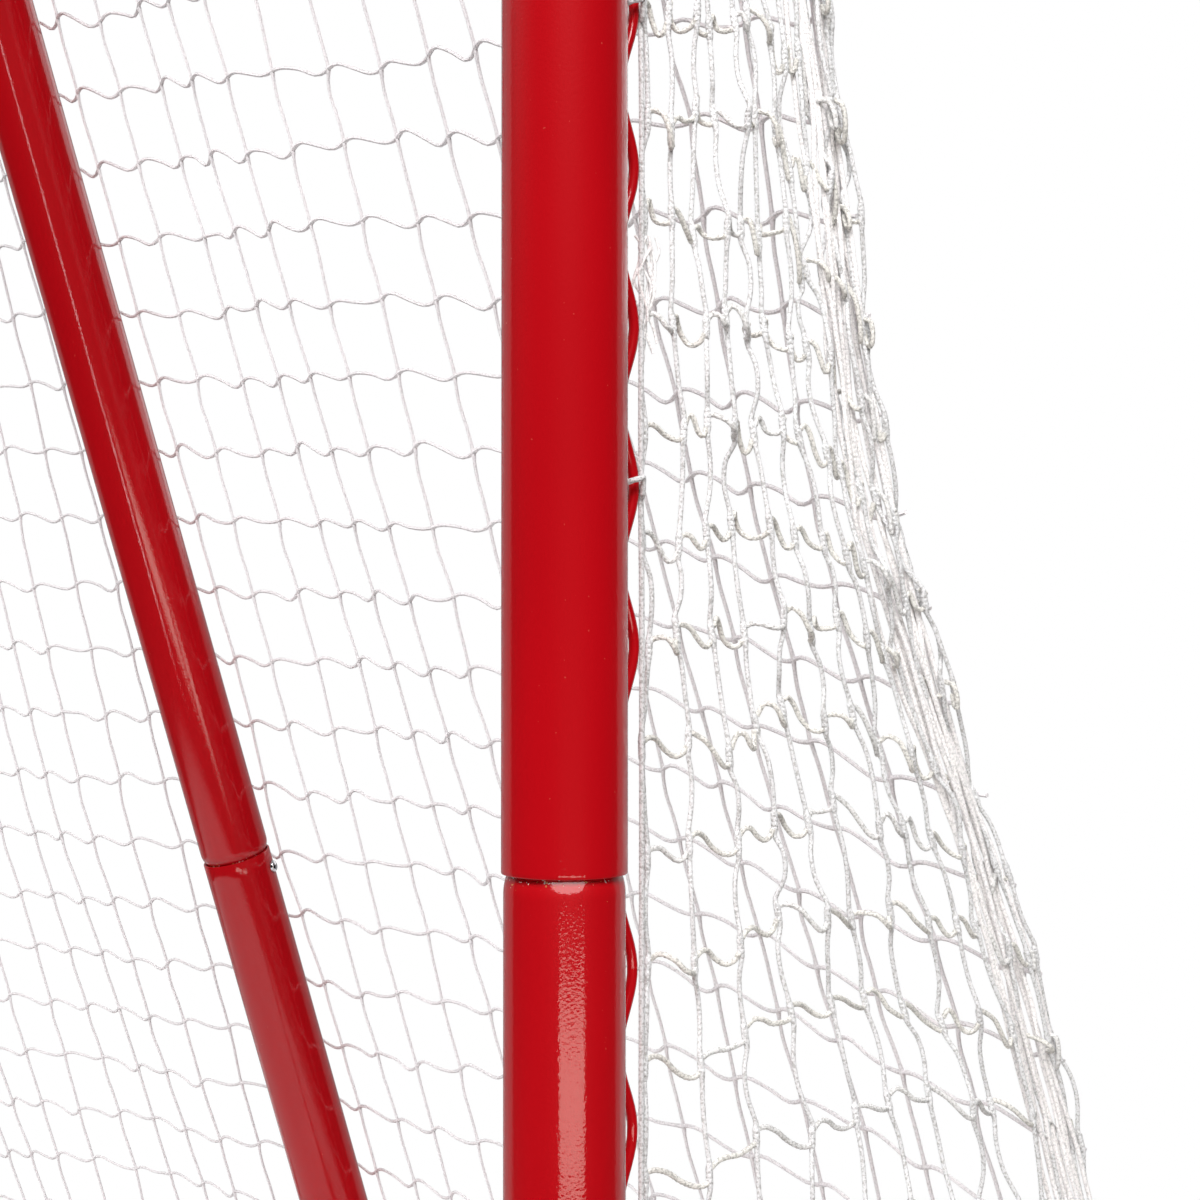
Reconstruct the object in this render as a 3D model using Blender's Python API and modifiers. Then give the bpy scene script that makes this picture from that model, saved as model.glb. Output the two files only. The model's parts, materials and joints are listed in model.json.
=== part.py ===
"""Knock-down catch net frame: red steel tube, scalloped lacing rods, snap buttons, white net."""

import math

import bpy
import bmesh
from mathutils import Matrix, Vector

# Metres. X runs along the crossbar, Y from the open mouth to the back, Z up.
HALF_WIDTH = 0.762  # post axis from the middle
BAR_Z = 1.4986  # crossbar axis
DEPTH = 0.4572  # post axis to rear bar axis
POST_Y = -0.2315  # puts the bounding box over the origin
POST_JOINT_Z = 0.762
STAY_JOINT_Z = 0.687

# Tube
TUBE_R = 0.0254
LOWER_POST_R = 0.0245
WALL = 0.0016
NECK_R = TUBE_R - WALL - 0.0008  # swaged end that slides into a plain end
NECK_LENGTH = 0.07
SHOULDER = 0.008
BEND_R = 0.1
SOCKET = 0.085  # straight end past a bend
STUB = 0.12  # rim of a stay socket from the axis of the tube it is welded to
TUBE_SIDES = 18
BEND_STEPS = 6
GAP = 0.0003  # between neighbours

# Scalloped lacing rod
ROD_R = 0.00225
SCALLOP_PITCH = 0.0655
SCALLOP_RISE = 0.0075
SCALLOP_POINTS = 6
UPPER_POST_ROD_Z = 0.8202
LOWER_POST_ROD_Z = 0.7535

# Snap button, measured outward from its tube's axis
BUTTON_R = 0.0045
BUTTON_SIDES = 12
BUTTON_TOP = 0.0288
FLANGE_R = 0.0058
FLANGE_TOP = 0.0198
LEAF_TOP = 0.0186
LEAF_THICKNESS = 0.0008
LEAF_HALF_WIDTH = 0.004
LEAF_LENGTH = 0.0335
LEAF_TAIL = 0.005
SPRING_WALL_SIDE = -0.0204
HOLE_R = 0.0049
BUTTON_INSET = 0.04  # button from the rim of the plain end
STAY_BUTTON_INSET = 0.014

# Lacing cord and net
CORD_R = 0.0012
CORD_LIFT = 0.0137  # cord centre above the tube
NET_LIFT = 0.0165  # net above the tube
NET_THICKNESS = 0.0024
NET_CORNER = 0.1  # cut off the top corners, where the posts bend
WRAP_EVERY = 3  # scallops from one wrap of the cord to the next

BASE_Z = TUBE_R
REAR_Y = POST_Y + DEPTH
LEG_X = HALF_WIDTH - BEND_R - SOCKET  # rims of the corner legs
FOOT_RIM_Z = BASE_Z + BEND_R + SOCKET
X, Y, Z = Vector((1, 0, 0)), Vector((0, 1, 0)), Vector((0, 0, 1))
BACK_TOP = (Y + Z).normalized()
BAR_MIDDLE = Vector((0, POST_Y, BAR_Z))
REAR_MIDDLE = Vector((0, REAR_Y, BASE_Z))
STAY = (BAR_MIDDLE - REAR_MIDDLE).normalized()
SIDES = {"right": 1, "left": -1}


# Scene

def clear_scene():
    for item in list(bpy.data.objects):
        bpy.data.objects.remove(item, do_unlink=True)


def new_collection(name):
    made = bpy.data.collections.new(name)
    bpy.context.scene.collection.children.link(made)
    return made


def material(name, colour, roughness, metallic):
    made = bpy.data.materials.new(name)
    made.use_nodes = True
    shader = made.node_tree.nodes["Principled BSDF"]
    shader.inputs["Base Color"].default_value = (*colour, 1)
    shader.inputs["Roughness"].default_value = roughness
    shader.inputs["Metallic"].default_value = metallic
    return made


clear_scene()
PARTS = new_collection("catch_net_frame")
CUTTERS = new_collection("cutters")
RED = material("red_powder_coat", (0.56, 0.008, 0.015), 0.3, 0.0)
ROD_RED = material("rod_powder_coat", (0.6, 0.012, 0.02), 0.35, 0.0)
CHROME = material("chrome_button", (0.75, 0.76, 0.78), 0.15, 1.0)
SPRING_STEEL = material("spring_steel", (0.45, 0.46, 0.48), 0.35, 1.0)
NET_WHITE = material("net_twine", (0.8, 0.78, 0.8), 0.8, 0.0)
CORD_WHITE = material("lacing_cord", (0.85, 0.84, 0.84), 0.75, 0.0)


# Shape helpers

def place(item, collection, surface=None, matrix=None):
    collection.objects.link(item)
    if surface:
        item.data.materials.clear()
        item.data.materials.append(surface)
    if matrix:
        item.matrix_world = matrix
    return item


def as_cutter(item):
    item.hide_render = True
    item.display_type = "WIRE"
    return item


def finished_mesh(item):
    """The item's mesh with its modifiers applied and its points welded. The item is removed."""
    bpy.context.view_layer.update()
    evaluated = item.evaluated_get(bpy.context.evaluated_depsgraph_get())
    mesh = bpy.data.meshes.new_from_object(evaluated)
    bpy.data.objects.remove(item, do_unlink=True)
    shape = bmesh.new()
    shape.from_mesh(mesh)
    bmesh.ops.remove_doubles(shape, verts=shape.verts, dist=0.00001)
    shape.to_mesh(mesh)
    shape.free()
    return mesh


def smooth(mesh, angle=40):
    mesh.shade_smooth()
    mesh.set_sharp_from_angle(angle=math.radians(angle))
    return mesh


def frame_of(origin, along, outward):
    """A matrix with its Z along the first direction and its X on the second."""
    along = along.normalized()
    outward = (outward - outward.project(along)).normalized()
    side = along.cross(outward)
    rows = Matrix((outward, side, along)).transposed()
    return Matrix.Translation(origin) @ rows.to_4x4()


def turned(name, profile, steps):
    """A closed profile of (radius, height) points turned about Z. Its outer side runs down."""
    mesh = bpy.data.meshes.new(name)
    count = len(profile)
    mesh.from_pydata(
        [(radius, 0, height) for radius, height in profile],
        [(i, (i + 1) % count) for i in range(count)],
        [],
    )
    item = bpy.data.objects.new(name, mesh)
    screw = item.modifiers.new("turn", "SCREW")
    screw.angle = math.tau
    screw.steps = steps
    screw.render_steps = steps
    screw.use_merge_vertices = True
    screw.merge_threshold = 0.00001
    screw.use_smooth_shade = True
    return item


def wire(name, points, radius, resolution):
    """A round wire through the points."""
    curve = bpy.data.curves.new(name, "CURVE")
    curve.dimensions = "3D"
    curve.bevel_depth = radius
    curve.bevel_resolution = resolution
    curve.use_fill_caps = True
    spline = curve.splines.new("POLY")
    spline.points.add(len(points) - 1)
    for target, point in zip(spline.points, points):
        target.co = (*point, 1)
    return bpy.data.objects.new(name, curve)


def wire_mesh(name, points, radius, resolution):
    item = place(wire(name, points, radius, resolution), CUTTERS)
    mesh = finished_mesh(item)
    mesh.name = name
    return smooth(mesh)


def flat_plate(name, outline, thickness):
    """A plate in its own XY plane, centred on it."""
    curve = bpy.data.curves.new(name, "CURVE")
    curve.dimensions = "2D"
    curve.fill_mode = "BOTH"
    curve.extrude = thickness / 2
    spline = curve.splines.new("POLY")
    spline.points.add(len(outline) - 1)
    for target, point in zip(spline.points, outline):
        target.co = (point[0], point[1], 0, 1)
    spline.use_cyclic_u = True
    item = place(bpy.data.objects.new(name, curve), CUTTERS)
    return finished_mesh(item)


def cut(item, cutter):
    boolean = item.modifiers.new("cut", "BOOLEAN")
    boolean.operation = "DIFFERENCE"
    boolean.solver = "EXACT"
    boolean.object = cutter


def cylinder_cutter(name, radius, start, end, sides=16):
    bpy.ops.mesh.primitive_cylinder_add(vertices=sides, radius=radius, depth=(end - start).length)
    item = bpy.context.object
    for owner in list(item.users_collection):
        owner.objects.unlink(item)
    item.name = name
    middle = (start + end) / 2
    return as_cutter(place(item, CUTTERS, matrix=frame_of(middle, end - start, X + Y + Z)))


# Tubes

def plain_end(radius, height):
    return [(radius, height)]


def neck_outside(radius, height, way):
    """The outer points of a swaged end, from its tip to the full tube."""
    tip = height + way * NECK_LENGTH
    return [
        (NECK_R - 0.0007, tip),
        (NECK_R, tip - way * 0.002),
        (NECK_R, height + way * 0.0005),
        (NECK_R + 0.0006, height - way * 0.0012),
        (radius - 0.0003, height - way * 0.0045),
        (radius, height - way * SHOULDER),
    ]


def neck_inside(radius, height, way):
    tip = height + way * NECK_LENGTH
    return [
        (NECK_R - WALL, tip),
        (NECK_R - WALL, height),
        (radius - WALL, height - way * SHOULDER),
    ]


def straight_tube(name, start, end, radius=TUBE_R, necks=()):
    """A tube from rim to rim. A name in necks, start or end, adds a swaged end past that rim."""
    length = (end - start).length
    low, high = "start" in necks, "end" in necks
    outer = neck_outside(radius, length, 1) if high else plain_end(radius, length)
    outer += neck_outside(radius, 0, -1)[::-1] if low else plain_end(radius, 0)
    inner = neck_inside(radius, 0, -1) if low else plain_end(radius - WALL, 0)
    inner += neck_inside(radius, length, 1)[::-1] if high else plain_end(radius - WALL, length)
    item = turned(name, outer + inner, TUBE_SIDES)
    outward = X if abs((end - start).normalized().x) < 0.5 else Z
    return place(item, PARTS, RED, frame_of(start, end - start, outward))


def rounded(corners):
    """The corners' route with an arc of the bend radius at each inner corner."""
    route = [corners[0]]
    for before, corner, after in zip(corners, corners[1:], corners[2:]):
        back = (before - corner).normalized()
        on = (after - corner).normalized()
        centre = corner + (back + on) * BEND_R
        for step in range(BEND_STEPS + 1):
            turn = math.radians(90) * step / BEND_STEPS
            route.append(centre - on * BEND_R * math.cos(turn) - back * BEND_R * math.sin(turn))
    return route + [corners[-1]]


def bent_tube(name, corners):
    route = rounded(corners)
    past = 0.002
    bore = list(route)
    bore[0] = bore[0] + (route[0] - route[1]).normalized() * past
    bore[-1] = bore[-1] + (route[-1] - route[-2]).normalized() * past
    sides = (TUBE_SIDES - 4) // 2
    item = bpy.data.objects.new(name, wire_mesh(name, route, TUBE_R, sides))
    hollow = wire_mesh(name + "_bore", bore, TUBE_R - WALL, sides)
    cutter = bpy.data.objects.new(name + "_bore", hollow)
    cut(place(item, PARTS, RED), as_cutter(place(cutter, CUTTERS)))
    return item


def socket(name, root, along, other_axis):
    """A short tube with its root end coped to fit the tube whose axis runs through root."""
    item = straight_tube(name, root, root + along * STUB)
    half = other_axis * TUBE_R * 2
    cut(item, cylinder_cutter(name + "_cope", TUBE_R + GAP, root - half, root + half, 24))
    return item


def make_frame():
    tubes = {}
    for side, way in SIDES.items():
        foot = Vector((way * HALF_WIDTH, POST_Y, 0))
        heel = Vector((way * HALF_WIDTH, REAR_Y, BASE_Z))
        leg = way * LEG_X
        tubes["post_upper_" + side] = bent_tube(
            "post_upper_" + side,
            [foot + Z * POST_JOINT_Z, foot + Z * BAR_Z, Vector((leg, POST_Y, BAR_Z))],
        )
        tubes["post_lower_" + side] = straight_tube(
            "post_lower_" + side,
            foot + Z * FOOT_RIM_Z,
            foot + Z * POST_JOINT_Z,
            LOWER_POST_R,
            ("start", "end"),
        )
        tubes["base_side_" + side] = bent_tube(
            "base_side_" + side,
            [foot + Z * FOOT_RIM_Z, foot + Z * BASE_Z, heel, Vector((leg, REAR_Y, BASE_Z))],
        )
    both = ("start", "end")
    for name, middle in (("crossbar", BAR_MIDDLE), ("rear_bar", REAR_MIDDLE)):
        tubes[name] = straight_tube(name, middle - X * LEG_X, middle + X * LEG_X, TUBE_R, both)
    tubes["stay_head_socket"] = socket("stay_head_socket", BAR_MIDDLE, -STAY, X)
    tubes["stay_foot_socket"] = socket("stay_foot_socket", REAR_MIDDLE, STAY, X)
    stay_rim = REAR_MIDDLE + STAY * ((STAY_JOINT_Z - BASE_Z) / STAY.z)
    tubes["stay_lower"] = straight_tube(
        "stay_lower", REAR_MIDDLE + STAY * STUB, stay_rim, TUBE_R, ("start",)
    )
    tubes["stay_upper"] = straight_tube(
        "stay_upper", stay_rim, BAR_MIDDLE - STAY * STUB, TUBE_R, both
    )
    return tubes, stay_rim


# Snap buttons

def snap_button_mesh():
    """A domed button on the moving leaf of its spring. X points out through the tube wall."""
    profile = [
        (0, BUTTON_TOP),
        (BUTTON_R * 0.45, BUTTON_TOP - 0.0002),
        (BUTTON_R * 0.85, BUTTON_TOP - 0.001),
        (BUTTON_R, BUTTON_TOP - 0.0022),
        (BUTTON_R, FLANGE_TOP),
        (FLANGE_R, FLANGE_TOP),
        (FLANGE_R, LEAF_TOP - 0.0003),
        (0, LEAF_TOP - 0.0003),
    ]
    item = turned("snap_button", profile, BUTTON_SIDES)
    place(item, CUTTERS, matrix=frame_of(Vector(), X, Y))
    bpy.ops.mesh.primitive_cube_add(size=1)
    leaf = bpy.context.object
    leaf.data.transform(
        Matrix.Diagonal((LEAF_THICKNESS, 2 * LEAF_HALF_WIDTH, LEAF_LENGTH + LEAF_TAIL, 1))
    )
    leaf.location = (LEAF_TOP - LEAF_THICKNESS / 2, 0, (LEAF_LENGTH - LEAF_TAIL) / 2)
    join = item.modifiers.new("join", "BOOLEAN")
    join.operation = "UNION"
    join.solver = "EXACT"
    join.object = leaf
    mesh = finished_mesh(item)
    mesh.transform(frame_of(Vector(), X, Y))
    bpy.data.objects.remove(leaf, do_unlink=True)
    mesh.materials.clear()
    mesh.materials.append(CHROME)
    return smooth(mesh)


def spring_mesh():
    """The fixed leg and bend of the U spring, in the button's frame."""
    start = LEAF_LENGTH + GAP + 0.0002
    wall_side = SPRING_WALL_SIDE
    centre = (wall_side + LEAF_TOP) / 2
    outside = (LEAF_TOP - wall_side) / 2
    outline = [(-LEAF_TAIL, wall_side)]
    steps = 8
    for radius, order in ((outside, range(steps + 1)), (outside - LEAF_THICKNESS, None)):
        for step in order or reversed(range(steps + 1)):
            turn = math.pi * step / steps
            outline.append((start + radius * math.sin(turn), centre - radius * math.cos(turn)))
    outline.append((-LEAF_TAIL, wall_side + LEAF_THICKNESS))
    mesh = flat_plate("spring", outline, 2 * LEAF_HALF_WIDTH)
    mesh.transform(Matrix(((0, 1, 0, 0), (0, 0, 1, 0), (1, 0, 0, 0), (0, 0, 0, 1))))
    mesh.materials.clear()
    mesh.materials.append(SPRING_STEEL)
    return smooth(mesh)


def joint_list(stay_rim):
    """Each slip joint: its name, rim, way into the plain end, button side, inset and two tubes."""
    joints = []
    for side, way in SIDES.items():
        post = Vector((way * HALF_WIDTH, POST_Y, 0))
        rows = (
            ("post_middle_", post + Z * POST_JOINT_Z, Z, -X * way, "post_upper_", "post_lower_"),
            ("post_foot_", post + Z * FOOT_RIM_Z, -Z, -X * way, "base_side_", "post_lower_"),
        )
        for name, rim, into, out, plain, necked in rows:
            joints.append((name + side, rim, into, out, BUTTON_INSET, plain + side, necked + side))
        for name, middle, out, plain, necked in (
            ("top_corner_", BAR_MIDDLE, -Z, "post_upper_", "crossbar"),
            ("rear_corner_", REAR_MIDDLE, -Y, "base_side_", "rear_bar"),
        ):
            rim = middle + X * way * LEG_X
            joints.append((name + side, rim, X * way, out, BUTTON_INSET, plain + side, necked))
    aside = (X + STAY.cross(X)).normalized()
    head, foot = BAR_MIDDLE - STAY * STUB, REAR_MIDDLE + STAY * STUB
    inset = BUTTON_INSET
    joints.append(("stay_head", head, STAY, aside, inset, "stay_head_socket", "stay_upper"))
    joints.append(("stay_foot", foot, -STAY, aside, inset, "stay_foot_socket", "stay_lower"))
    inset = STAY_BUTTON_INSET
    joints.append(("stay_middle", stay_rim, -STAY, aside, inset, "stay_lower", "stay_upper"))
    return joints


def make_buttons(tubes, stay_rim):
    button, spring = snap_button_mesh(), spring_mesh()
    for name, rim, into, out, inset, plain, necked in joint_list(stay_rim):
        centre = rim + into * inset
        hole = cylinder_cutter(name + "_hole", HOLE_R, centre + out * 0.012, centre + out * 0.034)
        cut(tubes[plain], hole)
        cut(tubes[necked], hole)
        matrix = frame_of(centre, -into, out)
        place(bpy.data.objects.new("snap_button_" + name, button), PARTS, matrix=matrix)
        place(bpy.data.objects.new("button_spring_" + name, spring), PARTS, matrix=matrix)


# Lacing rods and cords

def scallop_points(start, along, outward, radius, waves):
    """A wavy rod that touches its tube at the start, between its humps and at the end."""
    points = []
    for step in range(waves * SCALLOP_POINTS + 1):
        turn = math.tau * step / SCALLOP_POINTS
        lift = radius + GAP + ROD_R + SCALLOP_RISE * (1 - math.cos(turn)) / 2
        points.append(start + along * SCALLOP_PITCH * step / SCALLOP_POINTS + outward * lift)
    return points


def scalloped_rod(name, start, along, outward, radius, waves):
    points = scallop_points(start, along, outward, radius, waves)
    mesh = wire_mesh(name, points, ROD_R, 1)
    place(bpy.data.objects.new(name, mesh), PARTS, ROD_RED)


def wrap(middle, along, outward, across):
    """One turn of the cord under a hump, from the outside and back to it."""
    turns = (
        (-0.011, CORD_LIFT, 0),
        (-0.004, 0.0107, 0.0052),
        (-0.002, 0.0055, 0.0046),
        (0, 0.0034, 0),
        (0.002, 0.0055, -0.0046),
        (0.004, 0.0107, -0.0052),
        (0.011, CORD_LIFT, 0),
    )
    return [
        middle + along * forward + outward * (TUBE_R + lift) + across * sideways
        for forward, lift, sideways in turns
    ]


def lacing_cord(name, along, outward, rods):
    """A cord along rods given as (start, waves), wrapped under every third hump."""
    across = along.cross(outward)
    first, last = rods[0], rods[-1]
    past = 0.012
    lift = outward * (TUBE_R + CORD_LIFT)
    points = [first[0] - along * past + lift]
    for start, waves in rods:
        for wave in range(1 if waves > WRAP_EVERY else 0, waves, WRAP_EVERY):
            middle = start + along * SCALLOP_PITCH * (wave + 0.5)
            points += wrap(middle, along, outward, across)
    points.append(last[0] + along * (SCALLOP_PITCH * last[1] + past) + lift)
    mesh = wire_mesh(name, points, CORD_R, 1)
    place(bpy.data.objects.new(name, mesh), PARTS, CORD_WHITE)


def make_lacing():
    for side, way in SIDES.items():
        axis = Vector((way * HALF_WIDTH, POST_Y, 0))
        upper_waves, lower_waves, rail_waves = 8, 7, 3
        upper = axis + Z * UPPER_POST_ROD_Z
        lower_end = axis + Z * (LOWER_POST_ROD_Z - SCALLOP_PITCH * lower_waves)
        scalloped_rod("lacing_rod_post_upper_" + side, upper, Z, Y, TUBE_R, upper_waves)
        name = "lacing_rod_post_lower_" + side
        scalloped_rod(name, lower_end, Z, Y, LOWER_POST_R, lower_waves)
        rods = [(lower_end, lower_waves), (upper, upper_waves)]
        lacing_cord("lacing_cord_post_" + side, Z, Y, rods)
        rail = Vector((way * HALF_WIDTH, POST_Y + DEPTH / 2, BASE_Z))
        rail -= Y * SCALLOP_PITCH * rail_waves / 2
        scalloped_rod("lacing_rod_rail_" + side, rail, Y, Z, TUBE_R, rail_waves)
        lacing_cord("lacing_cord_rail_" + side, Y, Z, [(rail, rail_waves)])
    bar_waves = 17
    half = X * SCALLOP_PITCH * bar_waves / 2
    for name, middle, outward in (("crossbar", BAR_MIDDLE, Y), ("rear_bar", REAR_MIDDLE, BACK_TOP)):
        scalloped_rod("lacing_rod_" + name, middle - half, X, outward, TUBE_R, bar_waves)
        lacing_cord("lacing_cord_" + name, X, outward, [(middle - half, bar_waves)])


# Net

def make_net():
    """The net as thin panels: one behind the stay and one on each side."""
    lift = TUBE_R + NET_LIFT
    top = BAR_MIDDLE + Y * lift
    bottom = REAR_MIDDLE + BACK_TOP * lift
    slope = top - bottom
    half_width = HALF_WIDTH - NET_THICKNESS / 2 - GAP
    outline = [
        (-half_width, 0),
        (half_width, 0),
        (half_width, slope.length - NET_CORNER),
        (half_width - NET_CORNER, slope.length),
        (NET_CORNER - half_width, slope.length),
        (-half_width, slope.length - NET_CORNER),
    ]
    mesh = flat_plate("net_back", outline, NET_THICKNESS)
    upright = Matrix((X, slope.normalized(), X.cross(slope.normalized()))).transposed()
    back = bpy.data.objects.new("net_back", mesh)
    place(back, PARTS, NET_WHITE, Matrix.Translation(bottom) @ upright.to_4x4())

    def back_y(height):
        return bottom.y + slope.y * (height - bottom.z) / slope.z

    front, low, high = POST_Y + lift, BASE_Z + lift, BAR_Z - NET_CORNER
    corner = BEND_R + GAP
    outline = [
        (front, high),
        (front, BASE_Z + corner),
        (POST_Y + corner, low),
        (back_y(low), low),
        (back_y(high), high),
    ]
    turn = Matrix(((0, 0, 1, 0), (1, 0, 0, 0), (0, 1, 0, 0), (0, 0, 0, 1)))
    for side, way in SIDES.items():
        mesh = flat_plate("net_" + side, outline, NET_THICKNESS)
        item = bpy.data.objects.new("net_" + side, mesh)
        place(item, PARTS, NET_WHITE, Matrix.Translation(X * way * HALF_WIDTH) @ turn)


def main():
    tubes, stay_rim = make_frame()
    make_buttons(tubes, stay_rim)
    make_lacing()
    make_net()


main()
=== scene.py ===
"""Looks for the catch net frame: powder-coated tubes, lacing rods, snap buttons and a slack net."""

import json
import math

import bpy
import numpy as np
from mathutils import Matrix, Vector

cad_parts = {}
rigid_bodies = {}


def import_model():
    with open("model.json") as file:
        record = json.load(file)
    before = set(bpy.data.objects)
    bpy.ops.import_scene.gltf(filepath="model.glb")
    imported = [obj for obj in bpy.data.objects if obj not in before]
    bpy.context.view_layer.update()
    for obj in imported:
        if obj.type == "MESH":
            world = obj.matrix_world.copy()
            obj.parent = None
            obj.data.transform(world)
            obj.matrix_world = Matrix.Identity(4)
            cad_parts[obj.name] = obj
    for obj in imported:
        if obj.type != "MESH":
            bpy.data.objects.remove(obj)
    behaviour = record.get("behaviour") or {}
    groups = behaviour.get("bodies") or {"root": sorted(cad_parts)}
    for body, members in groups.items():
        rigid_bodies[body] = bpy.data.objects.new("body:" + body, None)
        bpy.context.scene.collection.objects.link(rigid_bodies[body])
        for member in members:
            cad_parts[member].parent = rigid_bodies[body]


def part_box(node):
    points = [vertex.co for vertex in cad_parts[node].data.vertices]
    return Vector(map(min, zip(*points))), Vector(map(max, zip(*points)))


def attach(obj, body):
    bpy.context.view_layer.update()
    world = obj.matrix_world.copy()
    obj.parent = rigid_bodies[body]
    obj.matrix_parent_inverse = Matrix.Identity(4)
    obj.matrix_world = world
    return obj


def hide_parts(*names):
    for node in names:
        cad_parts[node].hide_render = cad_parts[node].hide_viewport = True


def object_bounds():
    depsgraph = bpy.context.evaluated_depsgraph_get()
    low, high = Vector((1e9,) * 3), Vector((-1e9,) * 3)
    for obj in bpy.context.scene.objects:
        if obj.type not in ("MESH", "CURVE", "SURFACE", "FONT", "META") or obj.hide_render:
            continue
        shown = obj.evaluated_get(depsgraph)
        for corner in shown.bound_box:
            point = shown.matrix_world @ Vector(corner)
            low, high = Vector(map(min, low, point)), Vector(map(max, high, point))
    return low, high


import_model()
CAD_LOW, CAD_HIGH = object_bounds()
X, Y, Z = Vector((1, 0, 0)), Vector((0, 1, 0)), Vector((0, 0, 1))
SIDES = {"right": 1, "left": -1}
RANDOM = np.random.default_rng(11)

# Sizes and places taken from the frame, in metres


def middle(node):
    low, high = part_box(node)
    return (low + high) / 2


CROSSBAR_LOW, CROSSBAR_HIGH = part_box("crossbar")
POST_LOW, POST_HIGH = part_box("post_lower_right")
TUBE_R = (CROSSBAR_HIGH.z - CROSSBAR_LOW.z) / 2
LOWER_POST_R = (POST_HIGH.x - POST_LOW.x) / 2
HALF_WIDTH = middle("post_lower_right").x
BAR_MIDDLE, REAR_MIDDLE = middle("crossbar"), middle("rear_bar")
POST_Y, BAR_Z = BAR_MIDDLE.y, BAR_MIDDLE.z
REAR_Y, BASE_Z = REAR_MIDDLE.y, REAR_MIDDLE.z
UPPER_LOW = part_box("post_upper_right")[0]
LEG_X, POST_RIM_Z = UPPER_LOW.x, UPPER_LOW.z
FOOT_RIM_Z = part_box("base_side_right")[1].z
STAY = (BAR_MIDDLE - REAR_MIDDLE).normalized()
BACK_TOP = (Y + Z).normalized()

# Sizes that the frame's boxes don't show
WALL = 0.0016
NECK_R = TUBE_R - WALL - 0.0008
NECK_LENGTH = 0.07
SHOULDER = 0.008
BEND_R = 0.1
STUB = 0.12
STAY_RIM = 0.69272  # mid joint of the stay from the rear bar's axis
STAY_HEAD, STAY_FOOT = BAR_MIDDLE - STAY * STUB, REAR_MIDDLE + STAY * STUB
STAY_JOINT = REAR_MIDDLE + STAY * STAY_RIM
RIM_ROUND = 0.0004
TUBE_SIDES = 96
WEAR_REACH = 0.007
RIM_WEAR = 0.4  # how chipped a plain rim is
BEND_STEPS = 24
BUTTON_R = 0.0045
BUTTON_TOP = 0.0288
DOME_RISE = 0.0028
LEAF_SIDE = 0.0186  # the spring's leaf under the button, from the tube's axis
WALL_SIDE = -0.0204  # its fixed leg on the tube's far wall
LEAF_THICKNESS, LEAF_WIDTH = 0.0008, 0.0078
HOLE_R = 0.0049
BUTTON_INSET = 0.04
STAY_BUTTON_INSET = 0.014
ROD_R = 0.00225
SCALLOP_PITCH = 0.0655
SCALLOP_RISE = 0.0075
LOWER_WAVES, UPPER_WAVES, RAIL_WAVES, BAR_WAVES = 7, 8, 3, 17  # scallops of each rod
CORD_R = 0.0012
CORD_LIFT = 0.0137
CORD_OVERHANG = 0.012  # past the first and the last scallop
WRAP_EVERY = 3  # scallops from one turn of the cord to the next
TWINE_R = 0.0012
NET_LIFT = 0.0165


# Mesh helpers

def added(name, data):
    """A new object in the scene."""
    item = bpy.data.objects.new(name, data)
    bpy.context.scene.collection.objects.link(item)
    return item


def place(name, mesh, surface, nodes=(), body="frame"):
    """A finished piece that rides on its body and stands for its CAD nodes."""
    item = added(name, mesh)
    mesh.materials.clear()
    mesh.materials.append(surface)
    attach(item, body)
    if nodes:
        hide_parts(*nodes)


def mesh_of(name, points, faces, values=None, smooth=True):
    """A mesh from arrays. The values are point attributes by name."""
    mesh = bpy.data.meshes.new(name)
    mesh.from_pydata(points.tolist(), [], faces)
    for key, column in (values or {}).items():
        made = mesh.attributes.new(key, "FLOAT", "POINT")
        made.data.foreach_set("value", np.asarray(column, np.float32))
    if smooth:
        mesh.shade_smooth()
        mesh.set_sharp_from_angle(angle=math.radians(50))
    mesh.update()
    return mesh


def frame_of(origin, along, outward):
    """A matrix with its Z along the first direction and its X on the second."""
    along = along.normalized()
    outward = (outward - outward.project(along)).normalized()
    rows = Matrix((outward, along.cross(outward), along)).transposed()
    return Matrix.Translation(origin) @ rows.to_4x4()


def resampled(control, step):
    """Rows of a smooth curve through the control rows, about step apart along the line."""
    before, after = 2 * control[0] - control[1], 2 * control[-1] - control[-2]
    rows = np.vstack([before, control, after])
    a, b, c, d = (rows[i:len(rows) - 3 + i, None, :] for i in range(4))
    t = np.linspace(0, 1, 8, endpoint=False)[None, :, None]
    curve = 0.5 * (2 * b + (c - a) * t + (2 * a - 5 * b + 4 * c - d) * t**2
                   + (3 * b - a - 3 * c + d) * t**3)
    curve = np.vstack([curve.reshape(-1, control.shape[1]), control[-1]])
    run = np.linalg.norm(np.diff(curve[:, :3], axis=0), axis=1)
    run = np.concatenate([[0], np.cumsum(run)])
    at = np.linspace(0, run[-1], max(3, int(run[-1] / step) + 1))
    return np.stack([np.interp(at, run, column) for column in curve.T], 1)


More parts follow.
